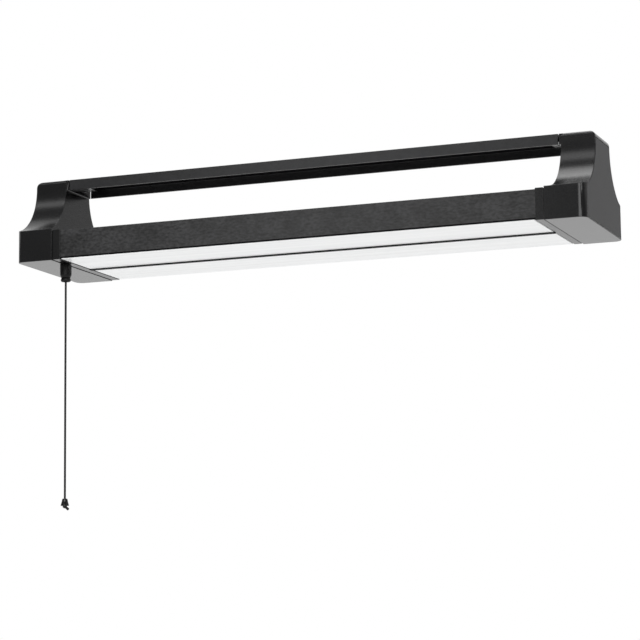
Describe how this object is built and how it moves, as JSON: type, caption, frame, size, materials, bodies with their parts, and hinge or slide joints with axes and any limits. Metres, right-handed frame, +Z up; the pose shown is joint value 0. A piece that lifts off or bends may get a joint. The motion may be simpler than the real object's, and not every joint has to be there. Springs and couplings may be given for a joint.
{
  "type": "hanging shop light",
  "caption": "Hanging shop light: a black housing with opal diffusers, towered end caps joined by a carrying bar, and a cord-pull switch.",
  "frame": {"origin": "middle of the bar's top face, midway between the two hanging slots, where the lamp is held up", "axes": "+X along the lamp with the pull switch at the -X end, -Y the side that the pull cord is nearer, +Z up"},
  "size_m": [0.6124, 0.144, 0.3499],
  "materials": {
    "brushed_aluminium": "brushed and black anodised, fine mottle",
    "bare_aluminium": "mill finish",
    "steel": "zinc plated",
    "board_white": "white solder mask",
    "led_package": "phosphor under clear resin",
    "opal": "opal, faintly satin",
    "rail_black": "moulded, fine texture",
    "collar_black": "moulded, satin",
    "cap_black": "moulded, satin",
    "end_plate_black": "moulded, fine texture",
    "bar_black": "black anodised, satin",
    "driver_white": "moulded",
    "board_green": "green solder mask",
    "winding_tape": "yellow polyester tape",
    "capacitor_sleeve": "shrunk sleeve",
    "copper": "enamelled copper winding",
    "terminal_white": "moulded nylon",
    "lead_brown": "PVC insulation",
    "lead_blue": "PVC insulation",
    "lead_green": "PVC insulation",
    "lead_red": "PVC insulation",
    "brass": "stamped",
    "switch_black": "moulded nylon",
    "switch_cream": "moulded acetal",
    "cord_black": "braided",
    "bell_black": "moulded, glossy"
  },
  "bodies": {
    "fixture": {"housing": "brushed_aluminium", "led_plate": "bare_aluminium", "led_plate_screws": "steel", "rail_screws": "steel", "front_led_board": "board_white", "rear_led_board": "board_white", "front_leds": "led_package", "rear_leds": "led_package", "front_diffuser": "opal", "rear_diffuser": "opal", "centre_rail": "rail_black", "left_collar": "collar_black", "right_collar": "collar_black", "left_end_cap": "cap_black", "right_end_cap": "cap_black", "left_end_plate": "end_plate_black", "right_end_plate": "end_plate_black", "left_cap_screws": "steel", "right_cap_screws": "steel", "top_bar": "bar_black", "bar_screws": "steel", "driver_case": "driver_white", "driver_lid": "driver_white", "driver_board": "board_green", "driver_transformer": "winding_tape", "driver_capacitors": "capacitor_sleeve", "driver_choke": "copper", "driver_heatsink": "bare_aluminium", "driver_screws": "steel", "terminal_block": "terminal_white", "terminal_screws": "steel", "inlet_bush": "switch_black", "inlet_nut": "switch_black", "live_lead": "lead_brown", "switched_lead": "lead_brown", "neutral_lead": "lead_blue", "earth_lead": "lead_green", "earth_tag": "brass", "front_output_lead": "lead_red", "rear_output_lead": "lead_red", "switch_body": "switch_black", "switch_cover": "switch_black", "switch_contacts": "brass", "switch_spring": "steel", "ferrule_nut": "switch_black", "cord_bush": "switch_black"},
    "slider": {"switch_slider": "switch_cream", "cord_stem": "cord_black"},
    "drum": {"switch_drum": "switch_cream"},
    "cord_pivot": {"cord_bead": "steel"},
    "cord": {"pull_cord": "cord_black", "cord_knot": "cord_black", "pull_bell": "bell_black"}
  },
  "joints": [
    {"name": "pull", "type": "slide", "parent": "fixture", "child": "slider", "axis": [0, 0, -1], "range_m": [0, 0.008], "stiffness_N_per_m": 500, "springref_m": -0.004, "deforming": ["switch_spring"]},
    {"name": "drum_step", "type": "hinge", "parent": "fixture", "child": "drum", "pos_m": [-0.2736, -0.039, -0.0798], "axis": [0, 1, 0], "range_deg": [0, 45]},
    {"name": "cord_sway_front_rear", "type": "hinge", "parent": "slider", "child": "cord_pivot", "pos_m": [-0.264, -0.039, -0.1082], "axis": [1, 0, 0], "range_deg": [-30, 30]},
    {"name": "cord_sway_left_right", "type": "hinge", "parent": "cord_pivot", "child": "cord", "pos_m": [-0.264, -0.039, -0.1082], "axis": [0, 1, 0], "range_deg": [-30, 30]}
  ],
  "couplings": [
    {"joint": "drum_step", "follows": "pull", "rad_per_m": 98.1}
  ]
}
